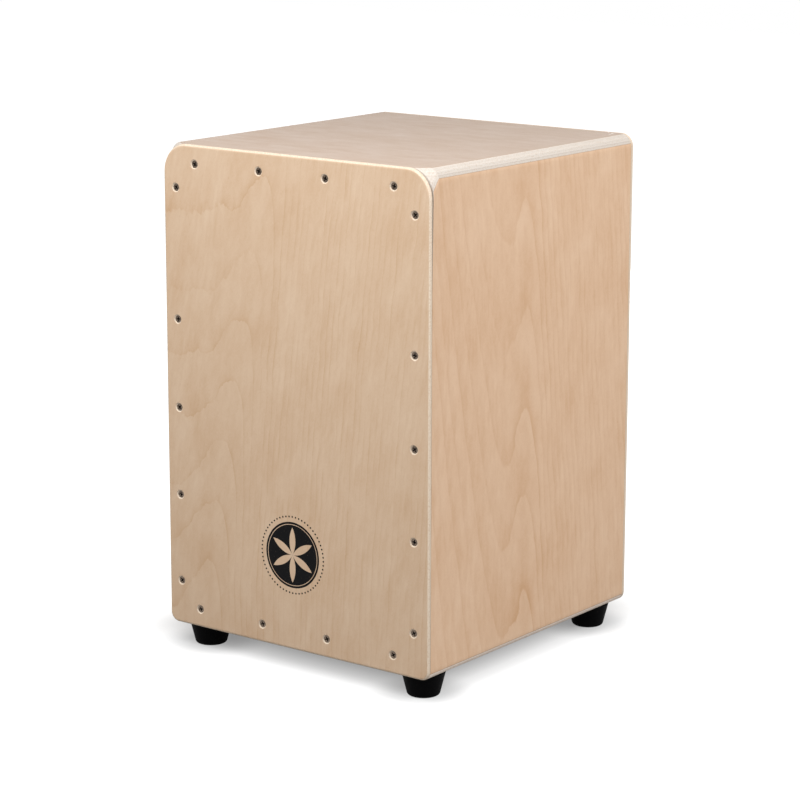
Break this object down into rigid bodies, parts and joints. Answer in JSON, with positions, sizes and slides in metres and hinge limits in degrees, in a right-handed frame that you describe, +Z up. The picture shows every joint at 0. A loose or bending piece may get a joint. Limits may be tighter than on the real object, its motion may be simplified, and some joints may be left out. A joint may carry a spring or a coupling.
{
  "type": "cajon",
  "caption": "Box drum of pale plywood on rubber feet: a thin screwed front plate with large upper corners, rounded long edges, and a round sound port in the back.",
  "frame": {"origin": "on the floor under the middle of the drum, at the centre of its bounding box's bottom face", "axes": "+Z up, -Y out of the front plate, +X to the right for someone facing the front plate"},
  "size_m": [0.3, 0.314, 0.47],
  "materials": {
    "front_plywood": "satin lacquer over rotary-cut veneer",
    "box_plywood": "satin lacquer, plies showing at the edges",
    "back_plywood": "satin lacquer",
    "cleat_softwood": "planed, unfinished",
    "screw_steel": "dark zinc plating",
    "plated_steel": "bright zinc plating",
    "snare_wire_steel": "bright drawn wire",
    "snare_brass": "rolled strip",
    "foot_rubber": "moulded, matt black"
  },
  "bodies": {
    "root": {"front_plate": "front_plywood", "front_plate_screws": "screw_steel", "top_panel": "box_plywood", "bottom_panel": "box_plywood", "right_side_panel": "box_plywood", "left_side_panel": "box_plywood", "back_plate": "back_plywood", "back_plate_screws": "screw_steel", "front_top_cleat": "cleat_softwood", "front_bottom_cleat": "cleat_softwood", "front_right_cleat": "cleat_softwood", "front_left_cleat": "cleat_softwood", "back_top_cleat": "cleat_softwood", "back_bottom_cleat": "cleat_softwood", "back_right_cleat": "cleat_softwood", "back_left_cleat": "cleat_softwood", "snare_bar": "cleat_softwood", "right_snare_clip": "snare_brass", "left_snare_clip": "snare_brass", "right_snare_wires": "snare_wire_steel", "left_snare_wires": "snare_wire_steel", "snare_clip_screws": "plated_steel", "foot_washers": "plated_steel", "foot_screws": "plated_steel", "front_left_foot": "foot_rubber", "front_right_foot": "foot_rubber", "back_left_foot": "foot_rubber", "back_right_foot": "foot_rubber"}
  },
  "joints": []
}
